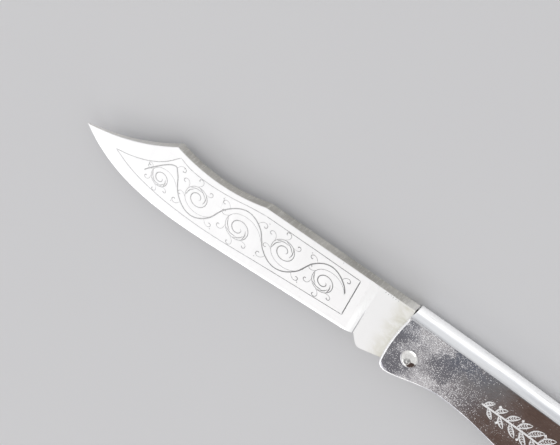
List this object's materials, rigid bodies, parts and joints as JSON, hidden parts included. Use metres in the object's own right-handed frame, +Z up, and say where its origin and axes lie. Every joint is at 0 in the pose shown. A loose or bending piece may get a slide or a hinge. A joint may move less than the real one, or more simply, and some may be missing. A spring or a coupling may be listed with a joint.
{
  "type": "pocket knife",
  "caption": "Slip-joint folding pocket knife with a clip-point blade in a folded sheet-steel handle, with a back spring, riveted pivot and a lanyard bail.",
  "frame": {"origin": "on the blade's pivot axis, in the plane of the flats of the rivet heads that the knife lies on", "axes": "+X to the butt of the handle, +Y to the back of the handle and the blade's spine, +Z up out of the cheek, along the pivot axis"},
  "size_m": [0.208, 0.022, 0.008],
  "materials": {
    "handle_sheet": "bright nickel-chrome plate on folded sheet steel",
    "blade_steel": "satin-ground carbon steel with cross-brushed spine",
    "spring_steel": "grey hardened spring steel",
    "rivet_steel": "domed, peened and polished",
    "bail_steel": "plated bent strap"
  },
  "bodies": {
    "handle": {"handle_shell": "handle_sheet", "backspring": "spring_steel", "pivot_rivet": "rivet_steel", "rear_rivet": "rivet_steel"},
    "blade": {"blade": "blade_steel"},
    "bail": {"bail": "bail_steel"}
  },
  "joints": [
    {"name": "blade_pivot", "type": "hinge", "parent": "handle", "child": "blade", "pos_m": [0, 0, 0.004], "axis": [0, 0, 1], "range_deg": [0, 177.5], "deforming": ["backspring"]},
    {"name": "bail_pivot", "type": "hinge", "parent": "handle", "child": "bail", "pos_m": [0.098, 0.00375, 0.004], "axis": [0, 0, 1], "range_deg": [-122, 140]}
  ]
}
